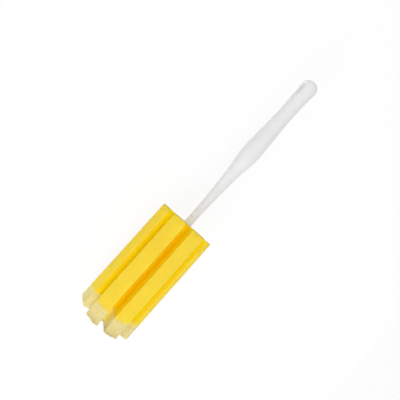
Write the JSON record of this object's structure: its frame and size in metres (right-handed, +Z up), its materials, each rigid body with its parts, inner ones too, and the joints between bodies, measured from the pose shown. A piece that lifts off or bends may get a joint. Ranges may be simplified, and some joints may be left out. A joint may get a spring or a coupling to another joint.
{
  "type": "sponge cup brush",
  "caption": "Foam brush for the insides of cups and glasses: a round head with lengthwise slots and a pale scrubbing tip, on a swelling handle with a hanging slot.",
  "frame": {"origin": "Halfway along the brush's length, under its axis, on the surface that the foam head lies on.", "axes": "+X along the brush from the hanging end towards the foam tip, +Z up, and Y through the hanging slot. A lobe of the foam points straight up and another straight down."},
  "size_m": [0.31, 0.06, 0.0599],
  "materials": {
    "handle_plastic": "smooth white moulded polypropylene with a soft sheen",
    "core_plastic": "plain white moulded plastic",
    "yellow_foam": "fine open-cell foam, saw cut, matt",
    "cream_foam": "coarser open-cell scrubbing foam, matt, ragged at its cut end",
    "screw_steel": "plain stainless steel"
  },
  "bodies": {
    "root": {"handle": "handle_plastic", "head_core": "core_plastic", "sponge_body": "yellow_foam", "sponge_tip": "cream_foam", "retaining_disc": "core_plastic", "disc_screw": "screw_steel"}
  },
  "joints": []
}
